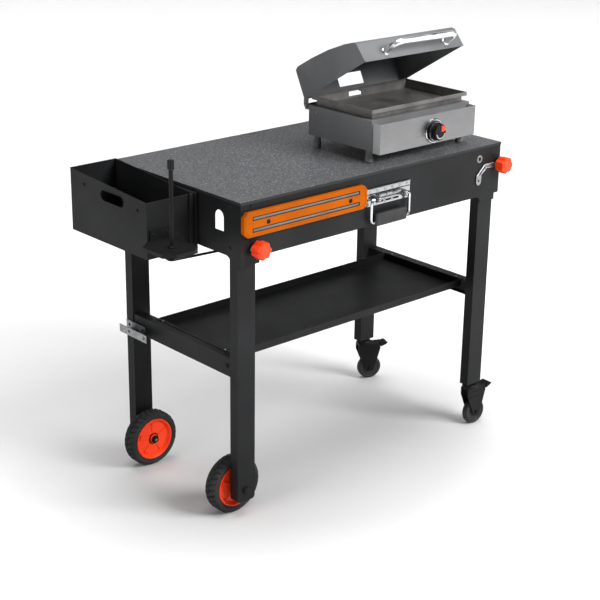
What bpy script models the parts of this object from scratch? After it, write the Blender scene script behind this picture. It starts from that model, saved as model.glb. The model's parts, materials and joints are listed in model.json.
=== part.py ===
"""Flat top griddle station: a rolling cart with a speckled steel top that carries a
hooded table-top griddle, a lift-off side bin, a tool strip and a carry handle.

Frame: +X runs from the bin end to the caster end, +Y from the front apron to the back,
+Z up, floor at z = 0. The dimensions are counted from the table top's front left corner.
Metres.
"""
import math

import bmesh
import bpy
from mathutils import Matrix, Vector

# Driving dimensions -------------------------------------------------------------
TOP_Z = 0.875                    # working height of the table top
TOP_X, TOP_Y, TOP_T = 0.963, 0.530, 0.008
RING_Y = 0.500                   # depth of the apron ring
APRON_H, APRON_DROP = 0.147, 0.165   # apron depth below the top, and at the legs
SHEET = 0.0020                   # apron sheet
GAP = 0.0004                     # clearance left between neighbouring pieces
LEG_X, LEG_Y, LEG_WALL = 0.058, 0.030, 0.0015
LEFT_LEG_X, RIGHT_LEG_X = 0.0035, 0.885
LEFT_LEG_Y = (0.0165, 0.4665)    # front faces of the wheel end legs
RIGHT_LEG_Y = (0.006, 0.463)     # front faces of the caster end legs
LEFT_LEG_END, RIGHT_LEG_END = 0.047, 0.138    # heights of the leg ends
SHELF_Z, SHELF_DEEP, SHELF_LIP = 0.4515, 0.020, 0.010
WHEEL_R, WHEEL_W, RIM_R = 0.080, 0.045, 0.0600
WHEEL_X, AXLE_Z, AXLE_R = 0.030, 0.080, 0.004
CASTER_X, CASTER_R, CASTER_TRAIL = 0.914, 0.0385, 0.020
CASTER_TURN = (-3.0, -25.0)      # how far the front and back casters stand turned
KNOB_R, KNOB_L, KNOB_LOBES = 0.0245, 0.034, 7
LEFT_KNOB = (0.0480, 0.751)      # x, z of the left leg knobs
RIGHT_KNOB = (0.9530, 0.814)     # x, z of the right lock knobs
STRIP = (0.002, 0.420, 0.786, 0.849)          # x, x, z, z of the tool strip
HANDLE_PIVOT = (0.5080, -0.0125, 0.8030)
BIN_X, BIN_Y, BIN_Z = (-0.157, -0.0140), (0.170, 0.500), 0.719
BIN_RIM = (0.864, 0.886)         # rim height at the front and at the back
POST = (-0.137, 0.095)           # towel post
GRIDDLE_X, GRIDDLE_Y = (0.499, 0.882), (0.058, 0.305)
GRIDDLE_BASE, GRIDDLE_RIM = 0.035, 0.118
PLATE_X, PLATE_Y = (0.503, 0.8745), (0.062, 0.298)
PLATE_Z = (0.1190, 0.1345, 0.1450)            # floor, ledge and rim of the plate
HINGE_Y, HINGE_Z = 0.316, 0.114  # hood hinge, above the table top
HOOD_OPEN = 27.0                 # the hood stands open by this much
DIAL_X, DIAL_Z = 0.710, 0.065    # burner control, above the table top
ORIGIN = (0.4000, 0.2500)        # plan centre, counted from the front left corner


# Materials ----------------------------------------------------------------------
def paint(name, rgb, rough, metal=0.0):
    mat = bpy.data.materials.new(name)
    mat.use_nodes = True
    shader = mat.node_tree.nodes["Principled BSDF"]
    shader.inputs["Base Color"].default_value = (*rgb, 1.0)
    shader.inputs["Roughness"].default_value = rough
    shader.inputs["Metallic"].default_value = metal
    return mat


# Helpers ------------------------------------------------------------------------
def link(name, data, mat, at, parent):
    obj = bpy.data.objects.new(name, data)
    bpy.context.scene.collection.objects.link(obj)
    if mat:
        data.materials.append(mat)
    obj.location = at
    obj.parent = parent
    return obj


def group(name, at, parent=None, turn=(0, 0, 0)):
    """An empty on a joint's axis."""
    obj = link(name, None, None, at, parent)
    obj.rotation_euler = [math.radians(a) for a in turn]
    return obj


def finish(bm, name, mat, at, parent, smooth=0.0):
    """Turns a bmesh drawn in the parent's frame into an object whose origin is at."""
    bmesh.ops.remove_doubles(bm, verts=bm.verts, dist=1e-6)
    bmesh.ops.recalc_face_normals(bm, faces=bm.faces)
    bmesh.ops.translate(bm, verts=bm.verts, vec=-Vector(at))
    mesh = bpy.data.meshes.new(name)
    bm.to_mesh(mesh)
    bm.free()
    if smooth:
        mesh.shade_smooth()
        mesh.set_sharp_from_angle(angle=math.radians(smooth))
    return link(name, mesh, mat, at, parent)


def cube(bm, lo, hi):
    size = [b - a for a, b in zip(lo, hi)]
    mid = [(a + b) / 2 for a, b in zip(lo, hi)]
    place = Matrix.Translation(mid) @ Matrix.Diagonal((*size, 1.0))
    return bmesh.ops.create_cube(bm, size=1.0, matrix=place)["verts"]


def box(name, mat, lo, hi, parent, bevel=0.0, at=None):
    bm = bmesh.new()
    cube(bm, lo, hi)
    if bevel:
        bmesh.ops.bevel(bm, geom=bm.edges[:], offset=bevel, segments=1, affect="EDGES")
    middle = at or [(a + b) / 2 for a, b in zip(lo, hi)]
    return finish(bm, name, mat, middle, parent)


def lay(axis, a, b, h):
    """Point with plan coordinates a, b on the plane across axis at height h."""
    return {"x": (h, a, b), "y": (a, h, b), "z": (a, b, h)}[axis]


def slab(name, mat, outline, axis, start, end, parent, at=None, smooth=0.0):
    """A flat outline extruded along an axis."""
    bm = bmesh.new()
    face = bm.faces.new([bm.verts.new(lay(axis, a, b, start)) for a, b in outline])
    grown = bmesh.ops.extrude_face_region(bm, geom=[face])["geom"]
    tops = [g for g in grown if isinstance(g, bmesh.types.BMVert)]
    bmesh.ops.translate(bm, verts=tops, vec=lay(axis, 0, 0, end - start))
    middle = at or lay(axis, *outline[0], start)
    return finish(bm, name, mat, middle, parent, smooth)


def turned(name, mat, profile, axis, at, parent, steps=28, loop=False, smooth=40.0):
    """A profile of (radius, height) spun about an axis through at."""
    bm = bmesh.new()
    verts = [bm.verts.new((r, 0.0, h)) for r, h in profile]
    count = len(verts)
    for i in range(count if loop else count - 1):
        bm.edges.new((verts[i], verts[(i + 1) % count]))
    bmesh.ops.spin(bm, geom=bm.verts[:] + bm.edges[:], axis=(0, 0, 1), cent=(0, 0, 0),
                   angle=2 * math.pi, steps=steps, use_merge=True)
    tip = {"x": Matrix.Rotation(math.pi / 2, 4, "Y"),
           "y": Matrix.Rotation(-math.pi / 2, 4, "X"), "z": Matrix.Identity(4)}[axis]
    bmesh.ops.transform(bm, matrix=Matrix.Translation(at) @ tip, verts=bm.verts)
    return finish(bm, name, mat, at, parent, smooth)


def rod(name, mat, points, radius, parent, at=(0, 0, 0), sides=2):
    """A round bar bent along points."""
    data = bpy.data.curves.new(name, "CURVE")
    data.dimensions = "3D"
    data.bevel_depth = radius
    data.bevel_resolution = sides
    data.use_fill_caps = True
    line = data.splines.new("POLY")
    line.points.add(len(points) - 1)
    for spot, p in zip(line.points, points):
        spot.co = (*(Vector(p) - Vector(at)), 1.0)
    return link(name, data, mat, at, parent)


def rounded_path(corners, radius, steps=4):
    """The corners of a path, with every inner corner rounded."""
    path = [Vector(corners[0])]
    for before, here, after in zip(corners, corners[1:], corners[2:]):
        before, here, after = Vector(before), Vector(here), Vector(after)
        into, out = (before - here).normalized(), (after - here).normalized()
        half = into.angle(out) / 2
        reach = radius / math.tan(half)
        centre = here + (into + out).normalized() * (radius / math.sin(half))
        start, end = here + into * reach - centre, here + out * reach - centre
        for k in range(steps + 1):
            path.append(centre + start.slerp(end, k / steps, start) * radius)
    return path + [Vector(corners[-1])]


def fillet(cx, cz, r, start, end, steps=4):
    """Points of an arc in the plane, angles in degrees."""
    turns = [math.radians(start + (end - start) * k / steps) for k in range(steps + 1)]
    return [(cx + r * math.cos(t), cz + r * math.sin(t)) for t in turns]


def sheet(name, mat, faces, thick, parent, at=(0, 0, 0), offset=-1.0):
    """Folded sheet: faces drawn as surfaces, thickened by a Solidify modifier."""
    bm = bmesh.new()
    for corners in faces:
        bm.faces.new([bm.verts.new(c) for c in corners])
    bmesh.ops.remove_doubles(bm, verts=bm.verts, dist=1e-6)
    obj = finish(bm, name, mat, at, parent)
    fold = obj.modifiers.new("thickness", "SOLIDIFY")
    fold.thickness = thick
    fold.offset = offset
    fold.use_even_offset = True
    return obj


def helper(obj):
    """Keeps a cutter or a joined shape out of the render."""
    obj.hide_render = True
    obj.display_type = "WIRE"
    return obj


def combine(target, other, how):
    step = target.modifiers.new(how.lower(), "BOOLEAN")
    step.operation = how
    step.solver = "EXACT"
    step.object = helper(other)
    return target


def drill(target, axis, at, radius, length, parent, steps=20):
    """Bores a round hole of a given length, centred at a point."""
    name = f"cut_{target.name}_{len(target.modifiers)}"
    half = length / 2
    profile = [(0, half), (radius, half), (radius, -half), (0, -half)]
    cutter = turned(name, None, profile, axis, at, parent, steps=steps, smooth=0.0)
    return combine(target, cutter, "DIFFERENCE")


def pocket(target, lo, hi, parent):
    name = f"cut_{target.name}_{len(target.modifiers)}"
    return combine(target, box(name, None, lo, hi, parent), "DIFFERENCE")


def weld(target, shape):
    return combine(target, shape, "UNION")


# Cart frame -----------------------------------------------------------------------
def front_outline():
    """Front and back apron, seen from the front, with its drops over the legs."""
    top, low, drop = TOP_Z - TOP_T - GAP, TOP_Z - APRON_H, TOP_Z - APRON_DROP
    r = low - drop
    return ([(0.001, top), (0.001, drop), (0.0615, drop)]
            + fillet(0.0615 + r, low - r, r, 180, 90)
            + fillet(RIGHT_LEG_X - r, low - r, r, 90, 0)
            + [(0.945, drop), (0.945, low), (TOP_X - 0.001, low), (TOP_X - 0.001, top)])


def left_outline():
    top, low, drop = TOP_Z - TOP_T - GAP, TOP_Z - APRON_H, TOP_Z - APRON_DROP
    r, near, far = low - drop, 0.001 + SHEET + GAP, RING_Y - 0.001 - SHEET - GAP
    return ([(near, top), (near, drop), (0.040, drop)]
            + fillet(0.040 + r, low - r, r, 180, 90)
            + fillet(0.460 - r, low - r, r, 90, 0) + [(far, drop), (far, top)])


def aprons(root, m):
    flange_z = (TOP_Z - APRON_H, TOP_Z - APRON_H + SHEET)
    front = slab("front_apron", m["black"], front_outline(), "y", 0.001, 0.001 + SHEET, root)
    weld(front, box("front_flange", None, (0.0815, 0.0015, flange_z[0]),
                    (0.874, 0.016, flange_z[1]), root))
    back = slab("back_apron", m["black"], front_outline(), "y",
                RING_Y - 0.001 - SHEET, RING_Y - 0.001, root)
    weld(back, box("back_flange", None, (0.0815, RING_Y - 0.016, flange_z[0]),
                   (0.874, RING_Y - 0.0015, flange_z[1]), root))
    left = slab("left_apron", m["black"], left_outline(), "x", 0.001, 0.001 + SHEET, root)
    for k, y in enumerate((0.0835, RING_Y - 0.0835)):
        slot = ([(y - 0.0175, 0.787), (y + 0.0175, 0.787)]
                + fillet(y, 0.8225, 0.0175, 0, 180, 8))
        combine(left, slab(f"cut_slot_{k}", None, slot, "x", -0.01, 0.01, root),
                "DIFFERENCE")
    x = TOP_X - 0.001
    near, far = 0.001 + SHEET + GAP, RING_Y - 0.001 - SHEET - GAP
    right = box("right_apron", m["black"], (x - SHEET, near, TOP_Z - APRON_H),
                (x, far, TOP_Z - TOP_T - GAP), root)
    for piece, y in ((front, 0.002), (back, RING_Y - 0.002)):
        for kx, kz in (LEFT_KNOB, RIGHT_KNOB):
            drill(piece, "y", (kx, y, kz), 0.0046, 0.012, root)
    return front, back, left, right


def table_top(root, m):
    """Folded steel top with a downturned edge all round."""
    ring = [(0, 0), (TOP_X, 0), (TOP_X, TOP_Y), (0, TOP_Y)]
    faces = [[(*p, TOP_Z) for p in ring]]
    for a, b in zip(ring, ring[1:] + ring[:1]):
        faces.append([(*a, TOP_Z), (*b, TOP_Z), (*b, TOP_Z - TOP_T), (*a, TOP_Z - TOP_T)])
    sheet("tabletop", m["top"], faces, 0.0014, root, at=(0, 0, TOP_Z))


def leg_outline(x, foot, round_r):
    top = TOP_Z - TOP_T - 0.003
    return ([(x, top)] + fillet(x + round_r, foot + round_r, round_r, 180, 270)
            + fillet(x + LEG_X - round_r, foot + round_r, round_r, 270, 360)
            + [(x + LEG_X, top)])


def leg(name, x, y, foot, root, m):
    """A rectangular tube. The wheel ends are closed, the caster ends open."""
    left = x == LEFT_LEG_X
    tube = slab(name, m["black"], leg_outline(x, foot, 0.010 if left else 0.0005), "y",
                y, y + LEG_Y, root)
    floor = foot + 0.040 if left else foot - 0.01
    pocket(tube, (x + LEG_WALL, y + LEG_WALL, floor),
           (x + LEG_X - LEG_WALL, y + LEG_Y - LEG_WALL, TOP_Z), root)
    outer = y if y < 0.2 else y + LEG_Y
    if left:
        drill(tube, "y", (WHEEL_X, y + LEG_Y / 2, AXLE_Z), AXLE_R + 0.0005, 0.05, root)
        drill(tube, "y", (LEFT_KNOB[0], outer, LEFT_KNOB[1]), 0.0046, 0.012, root)
    else:
        drill(tube, "y", (RIGHT_KNOB[0], outer, RIGHT_KNOB[1]), 0.0046, 0.012, root)
    return tube


def crossbar(name, x, face, legs_y, root, m):
    """Channel between two legs. Its web faces outwards and its top flange carries
    the shelf."""
    t, z = 0.0015, SHELF_Z - 0.0015 - GAP
    web = (x, x + t * face)
    far = x + 0.030 * face
    low = z - 0.050
    outline = [(web[0], z + t), (far, z + t), (far, z), (web[1], z), (web[1], low + t),
               (x + 0.012 * face, low + t), (x + 0.012 * face, low), (web[0], low)]
    return slab(name, m["black"], outline, "y", legs_y[0] + LEG_Y + GAP,
                legs_y[1] - GAP, root)


def shelf(root, m):
    """Tray hanging between the crossbars by a lip along each end."""
    x0, x1, y0, y1 = 0.037, 0.9095, 0.075, 0.392
    z0, z1 = SHELF_Z - SHELF_DEEP, SHELF_Z
    faces = [[(x0, y0, z0), (x1, y0, z0), (x1, y1, z0), (x0, y1, z0)]]
    ring = [(x0, y0), (x1, y0), (x1, y1), (x0, y1)]
    for a, b in zip(ring, ring[1:] + ring[:1]):
        faces.append([(*a, z0), (*b, z0), (*b, z1), (*a, z1)])
    for x, out in ((x0, x0 - SHELF_LIP), (x1, x1 + SHELF_LIP)):
        faces.append([(x, y0, z1), (x, y1, z1), (out, y1, z1), (out, y0, z1)])
    sheet("shelf_tray", m["black"], faces, 0.0012, root, at=(x0, y0, z0), offset=1.0)


def side_bracket(root, m):
    """Punched zinc channel, open upwards, on the outside of the back left leg."""
    t, x0, x1, z0, z1, lip = 0.0015, -0.0215, 0.0031, 0.3975, 0.4275, 0.420
    outline = [(x0, z0), (x1, z0), (x1, z1), (x1 - t, z1), (x1 - t, z0 + t),
               (x0 + t, z0 + t), (x0 + t, lip), (x0, lip)]
    piece = slab("side_bracket", m["zinc"], outline, "y", 0.409, 0.496, root)
    weld(piece, box("bracket_arm", None, (x0, 0.374, z0), (x0 + t, 0.410, lip), root))
    for y in (0.385, 0.4525):
        drill(piece, "x", (x0, y, 0.4090), 0.0045, 0.010, root, 14)
    for y in (0.4230, 0.4815):
        drill(piece, "x", (x1, y, 0.4150), 0.0045, 0.010, root, 14)


def star_knob(name, x, z, front, seat, root, m):
    """Lobed hand knob with its threaded shank, which passes through the apron. seat is
    how far in front of the apron its collar starts."""
    pivot = group(f"{name}_axis", (x, 0.001 if front else RING_Y - 0.001, z), root)
    sign = -1 if front else 1
    steps = KNOB_LOBES * 4
    outline = []
    for k in range(steps):
        t = 2 * math.pi * k / steps
        r = KNOB_R - 0.0022 + 0.0022 * math.cos(KNOB_LOBES * t)
        outline.append((r * math.cos(t), r * math.sin(t)))
    bm = bmesh.new()
    rings = []
    for depth, scale in ((0.0085, 0.86), (0.0115, 1.0), (KNOB_L + 0.0015, 0.97),
                         (KNOB_L + 0.0045, 0.84)):
        rings.append([bm.verts.new((a * scale, sign * depth, b * scale))
                      for a, b in outline])
    for low, high in zip(rings, rings[1:]):
        for k in range(steps):
            bm.faces.new((low[k], low[(k + 1) % steps], high[(k + 1) % steps], high[k]))
    bm.faces.new(rings[0])
    bm.faces.new(rings[-1])
    knob = finish(bm, name, m["orange"], (0, 0, 0), pivot, 35.0)
    ends = (-0.010, 0.020) if sign > 0 else (-0.020, 0.010)
    shank = [(0, ends[1]), (0.004, ends[1]), (0.004, ends[0]), (0, ends[0])]
    weld(knob, turned(f"{name}_shank", None, shank, "y", (0, 0, 0), pivot, 16))
    collar = [(0, sign * seat), (0.011, sign * seat), (0.011, sign * 0.0095),
              (0, sign * 0.0095)]
    weld(knob, turned(f"{name}_collar", None, collar, "y", (0, 0, 0), pivot, 20))
    return knob


def lock_strap(root, m):
    """Flat zinc strap from its rivet hole up to the right front knob."""
    kx, kz = RIGHT_KNOB
    outline = (fillet(0.872, 0.774, 0.0105, 165, 350, 7)
               + [(0.883, 0.795), (0.903, 0.808)]
               + fillet(kx, kz, 0.0080, -110, 110, 8)
               + [(0.893, 0.822), (0.862, 0.792)])
    strap = slab("lock_strap", m["zinc"], outline, "y", -0.0022, -0.0002, root)
    drill(strap, "y", (0.872, -0.001, 0.776), 0.0035, 0.01, root, 16)
    drill(strap, "y", (kx, -0.001, kz), 0.0050, 0.01, root, 16)


def tool_strip(root, m):
    x0, x1, z0, z1 = STRIP
    c = 0.012
    outline = [(x0, z0 + c), (x0 + c, z0), (x1 - c, z0), (x1, z0 + c),
               (x1, z1 - c), (x1 - c, z1), (x0 + c, z1), (x0, z1 - c)]
    base = slab("tool_strip", m["strip"], outline, "y", -0.0120, 0.0006, root)
    bars = (z0 + 0.0165, z0 + 0.0465)
    for k, z in enumerate(bars):
        pocket(base, (x0 + 0.028, -0.0140, z - 0.0044), (x1 - 0.028, -0.0080, z + 0.0044),
               root)
        box(("tool_strip_bar_low", "tool_strip_bar_high")[k], m["steel"],
            (x0 + 0.0285, -0.0116, z - 0.0040), (x1 - 0.0285, -0.0084, z + 0.0040), root,
            0.0006)
    for x in (0.080, 0.360):
        drill(base, "y", (x, -0.006, 0.8165), 0.0036, 0.02, root, 16)


def carry_handle(root, m):
    """Chest handle: plate with two lugs, a sprung bail and its grip."""
    px, py, pz = HANDLE_PIVOT
    plate = box("handle_plate", m["chrome"], (px - 0.0830, -0.0018, 0.783),
                (px + 0.0830, 0.0006, 0.831), root, 0.0004)
    for side in (-1, 1):
        x = px + side * 0.050
        weld(plate, box(f"lug_{side}", None, (x - 0.004, py - 0.002, pz - 0.0085),
                        (x + 0.004, -0.0008, pz + 0.0085), root))
        weld(plate, turned(f"lug_eye_{side}", None,
                           [(0, 0.004), (0.0085, 0.004), (0.0085, -0.004), (0, -0.004)],
                           "x", (x, py - 0.002, pz), root, 20))
        drill(plate, "x", (x, py, pz), 0.0046, 0.012, root, 18)
    pivot = group("handle_axis", HANDLE_PIVOT, root)
    reach, drop = 0.0705, 0.0635
    corners = [(-0.044, 0, 0), (-reach, 0, 0), (-reach, 0, -drop), (reach, 0, -drop),
               (reach, 0, 0), (0.044, 0, 0)]
    rod("handle_bail", m["chrome"], rounded_path(corners, 0.010), 0.0040, pivot)
    grip = box("handle_grip", m["rubber"], (-0.058, -0.0085, -drop - 0.0100),
               (0.058, 0.0085, -drop + 0.0240), pivot, 0.004, at=(0, 0, 0))
    drill(grip, "x", (0, 0, -drop), 0.0046, 0.14, pivot, 18)


# Wheels ---------------------------------------------------------------------------
def wheel(side, y0, outward, root, m):
    """Treaded tyre on a moulded rim, on a stub axle bolted through the leg. outward is
    -1 for the front wheel and +1 for the back one."""
    y1 = y0 + WHEEL_W
    axis = group(f"wheel_{side}_axis", (WHEEL_X, (y0 + y1) / 2, AXLE_Z), root)
    h = WHEEL_W / 2
    tyre = [(RIM_R + GAP, -h + 0.004), (0.064, -h + 0.001), (0.069, -h),
            (0.0765, -h + 0.004), (WHEEL_R, -h + 0.012), (WHEEL_R, h - 0.012),
            (0.0765, h - 0.004), (0.069, h), (0.064, h - 0.001),
            (RIM_R + GAP, h - 0.004)]
    turned(f"tyre_{side}", m["tyre"], tyre, "y", (0, 0, 0), axis, 36, loop=True)
    bore = AXLE_R + 0.0006
    rim = [(bore, -h + 0.001), (0.012, -h + 0.001), (0.014, -h + 0.008),
           (0.049, -h + 0.011), (0.0555, -h + 0.003), (RIM_R, -h + 0.0035),
           (RIM_R, h - 0.0035), (0.0555, h - 0.003), (0.049, h - 0.011),
           (0.014, h - 0.008), (0.012, h - 0.001), (bore, h - 0.001)]
    turned(f"rim_{side}", m["orange"], rim, "y", (0, 0, 0), axis, 24, loop=True)
    if outward < 0:
        head, tail = LEFT_LEG_Y[0] - GAP, y1 + 0.0008
        ends = [(0.0075, head - 0.0045), (0.0075, head), (AXLE_R, head),
                (AXLE_R, tail), (0.0070, tail), (0.0070, tail + 0.005)]
    else:
        head, tail = LEFT_LEG_Y[1] + LEG_Y + GAP, y0 - 0.0008
        ends = [(0.0075, head + 0.0045), (0.0075, head), (AXLE_R, head),
                (AXLE_R, tail), (0.0070, tail), (0.0070, tail - 0.005)]
    profile = [(0, ends[0][1])] + ends + [(0, ends[-1][1])]
    turned(f"axle_{side}", m["zinc"], profile, "y", (WHEEL_X, 0, AXLE_Z), root, 18)


def caster(side, y, turn, root, m):
    """Swivel caster with a foot brake. Its stem turns in a plug in the leg's end."""
    x, foot = CASTER_X, RIGHT_LEG_END
    half_x, half_y = LEG_X / 2 - LEG_WALL - GAP, LEG_Y / 2 - LEG_WALL - GAP
    plug = box(f"leg_plug_{side}", m["plastic"], (x - half_x, y - half_y, foot + 0.0005),
               (x + half_x, y + half_y, foot + 0.036), root)
    drill(plug, "z", (x, y, foot + 0.018), 0.0056, 0.06, root, 18)
    fork_axis = group(f"caster_{side}_axis", (x, y, 0), root, (0, 0, turn))
    stem = [(0, foot + 0.034), (0.005, foot + 0.034), (0.005, foot - 0.0015),
            (0.010, foot - 0.0015), (0.010, foot - 0.0045), (0.021, foot - 0.0045),
            (0.023, foot - 0.008), (0.023, foot - 0.014), (0.014, foot - 0.018),
            (0, foot - 0.018)]
    fork = turned(f"caster_fork_{side}", m["plastic"], stem, "z", (0, 0, 0), fork_axis, 24)
    weld(fork, box(f"crown_{side}", None, (-0.021, -0.0155, foot - 0.020),
                   (0.035, 0.0155, foot - 0.0150), fork_axis))
    cheek = [(-0.021, foot - 0.016), (0.050, foot - 0.016), (0.0535, foot - 0.032),
             (0.0320, 0.030), (0.026, 0.027), (0.014, 0.027), (0.008, 0.030),
             (-0.021, foot - 0.038)]
    for k, y0 in enumerate((-0.0155, 0.0125)):
        weld(fork, slab(f"cheek_{side}_{k}", None, cheek, "y", y0, y0 + 0.003, fork_axis))
    pin = [(0, 0.0175), (AXLE_R, 0.0175), (AXLE_R, -0.0175), (0, -0.0175)]
    weld(fork, turned(f"pin_{side}", None, pin, "y", (CASTER_TRAIL, 0, CASTER_R),
                      fork_axis, 16))
    px, pz = 0.0455, foot - 0.0235
    drill(fork, "y", (px, 0, pz), 0.0035, 0.05, fork_axis, 16)
    spin = group(f"caster_{side}_wheel_axis", (CASTER_TRAIL, 0, CASTER_R), fork_axis)
    r, b = CASTER_R, AXLE_R + 0.0005
    tread = [(b, -0.0100), (0.012, -0.0105), (0.014, -0.0085), (0.028, -0.0085),
             (0.030, -0.0110), (r - 0.003, -0.0100), (r, -0.0060), (r, 0.0060),
             (r - 0.003, 0.0100), (0.030, 0.0110), (0.028, 0.0085), (0.014, 0.0085),
             (0.012, 0.0105), (b, 0.0100)]
    turned(f"caster_wheel_{side}", m["rubber"], tread, "y", (0, 0, 0), spin, 24,
           loop=True)
    hinge = group(f"caster_{side}_pedal_axis", (px, 0, pz), fork_axis)
    blade = [(-0.0065, -0.0045), (0.0110, -0.0050), (0.0110, 0.0110), (0.0010, 0.0060),
             (-0.0065, 0.0045)]
    pedal = slab(f"caster_pedal_{side}", m["plastic"], blade, "y", -0.0118, 0.0118, hinge,
                 at=(0, 0, 0))
    paddle = [(0.0100, -0.0050), (0.0270, 0.0020), (0.0320, 0.0070), (0.0255, 0.0095),
              (0.0100, 0.0050)]
    weld(pedal, slab(f"paddle_{side}", None, paddle, "y", -0.0165, 0.0165, hinge))
    pivot_pin = [(0, 0.0152), (0.003, 0.0152), (0.003, -0.0152), (0, -0.0152)]
    weld(pedal, turned(f"pedal_pin_{side}", None, pivot_pin, "y", (0, 0, 0), hinge, 14))


# Side bin -------------------------------------------------------------------------
def side_bin(root, m):
    """Open bin that hangs on the left apron and lifts off."""
    base = group("bin_lift", (0, 0, 0), root)
    (x0, x1), (y0, y1), z0 = BIN_X, BIN_Y, BIN_Z
    front, back = BIN_RIM
    ring = [(x0, y0, front), (x1, y0, front), (x1, y1, back), (x0, y1, back)]
    faces = [[(x, y, z0) for x, y, _ in ring]]
    for a, b in zip(ring, ring[1:] + ring[:1]):
        faces.append([(a[0], a[1], z0), (b[0], b[1], z0), b, a])
    bin_ = sheet("side_bin", m["black"], faces, 0.0014, base, at=(x0, y0, z0))
    hole = ([(0.280, 0.830), (0.352, 0.830)] + fillet(0.352, 0.844, 0.014, -80, 80, 6)
            + [(0.352, 0.858), (0.280, 0.858)] + fillet(0.280, 0.844, 0.014, 100, 260, 6))
    combine(bin_, slab("cut_hand_hole", None, hole, "x", x0 - 0.005, x0 + 0.006, base),
            "DIFFERENCE")
    drill(bin_, "x", (x0, 0.206, 0.839), 0.0045, 0.012, base, 16)
    top, low = 0.866, 0.706
    frame = [(0.1655, low), (0.2035, low), (0.2035, 0.840), (0.4600, 0.840),
             (0.4600, low), (0.4950, low), (0.4950, top), (0.1655, top)]
    slab("bin_hanger", m["black"], frame, "x", x1 + GAP, -0.0030, base)
    box("bin_hook", m["black"], (-0.0280, y0 - GAP - 0.0060, low),
        (-0.0175, y0 - GAP, top), base, 0.0006)
    base_z, edge = 0.764, y0 - GAP
    foot = slab("towel_base", m["plastic"],
                [(-0.192, 0.062), (-0.165, 0.040), (-0.110, 0.040), (-0.085, 0.062),
                 (-0.085, edge), (-0.157, edge), (-0.192, 0.140)],
                "z", base_z, base_z + 0.004, base)
    weld(foot, box("towel_flange", None, (-0.150, edge - 0.003, base_z + 0.001),
                   (-0.088, edge, base_z + 0.030), base))
    rim = [(-0.192, 0.140), (-0.192, 0.062), (-0.165, 0.040), (-0.110, 0.040),
           (-0.085, 0.062), (-0.087, 0.063), (-0.1107, 0.042), (-0.1643, 0.042),
           (-0.190, 0.063), (-0.190, 0.140)]
    weld(foot, slab("towel_rim", None, rim, "z", base_z - 0.005, base_z + 0.001, base))
    drill(foot, "z", (*POST, base_z), 0.0050, 0.02, base, 18)
    post = [(0, base_z - 0.003), (0.0044, base_z - 0.003), (0.0044, base_z + 0.0043),
            (0.0085, base_z + 0.0043), (0.0085, base_z + 0.009), (0.0055, base_z + 0.010),
            (0.0055, 0.970), (0, 0.970)]
    pole = turned("towel_post", m["plastic"], post, "z", (*POST, 0), base, 20)
    weld(pole, box("post_cap", None, (POST[0] - 0.0065, POST[1] - 0.0065, 0.963),
                   (POST[0] + 0.0065, POST[1] + 0.0065, 0.987), base, 0.0015))
    leg_back = LEFT_LEG_Y[0] + LEG_Y + GAP
    path = rounded_path([(-0.100, 0.178, 0.7148), (-0.109, 0.143, 0.7148),
                         (0.050, 0.1245, 0.7148), (0.050, leg_back, 0.7148)], 0.010)
    stay = rod("bin_stay", m["plastic"], path, 0.0035, root)
    return bin_, stay


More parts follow.
